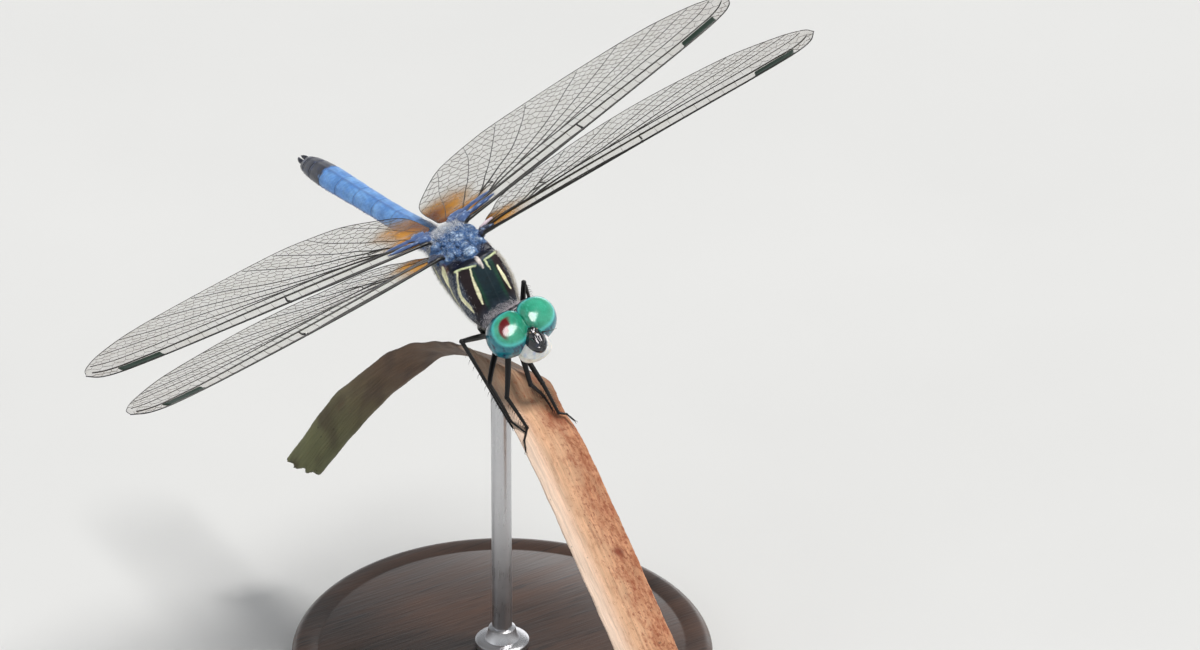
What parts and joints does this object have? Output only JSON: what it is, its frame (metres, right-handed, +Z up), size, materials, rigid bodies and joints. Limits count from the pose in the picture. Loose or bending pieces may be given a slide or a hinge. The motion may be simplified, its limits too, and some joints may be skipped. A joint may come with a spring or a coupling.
{
  "type": "dragonfly display model",
  "caption": "Life-size blue dasher dragonfly with spread wings, gripping a bent dry grass blade on a small display stand.",
  "frame": {"origin": "centre of the display stand underside", "axes": "+Z up from the stand underside; the dragonfly faces -Y and its left side is towards +X"},
  "size_m": [0.0663, 0.0494, 0.0553],
  "materials": {
    "eye": "glossy compound eye, turquoise above and deep blue below",
    "face_white": "glossy white face",
    "head_black": "glossy blue-black shell",
    "thorax": "dark shell with pale stripes and fine short hair",
    "abdomen_blue": "powder-blue waxy bloom",
    "abdomen_black": "blue-black shell",
    "wing": "clear membrane with dark veins",
    "leg": "glossy black with fine spines",
    "dry_grass": "dry, fibrous, mottled tan and brown",
    "stand_wood": "satin, stained almost black",
    "stand_steel": "satin"
  },
  "bodies": {
    "root": {"head": "head_black", "frons": "head_black", "labrum": "face_white", "eye_left": "eye", "eye_right": "eye", "antenna_left": "head_black", "antenna_right": "head_black", "prothorax": "thorax", "thorax": "thorax", "abdomen_1": "abdomen_blue", "abdomen_2": "abdomen_blue", "abdomen_3": "abdomen_blue", "abdomen_4": "abdomen_blue", "abdomen_5": "abdomen_blue", "abdomen_6": "abdomen_blue", "abdomen_7": "abdomen_blue", "abdomen_8": "abdomen_black", "abdomen_9": "abdomen_black", "abdomen_10": "abdomen_black", "cercus_left": "abdomen_black", "wing_fore_left": "wing", "wing_hind_left": "wing", "leg_fore_left": "leg", "leg_mid_left": "leg", "leg_hind_left": "leg", "cercus_right": "abdomen_black", "wing_fore_right": "wing", "wing_hind_right": "wing", "leg_fore_right": "leg", "leg_mid_right": "leg", "leg_hind_right": "leg", "perch_front": "dry_grass", "perch_rear": "dry_grass", "stand_base": "stand_wood", "stand_rod": "stand_steel"}
  },
  "joints": []
}
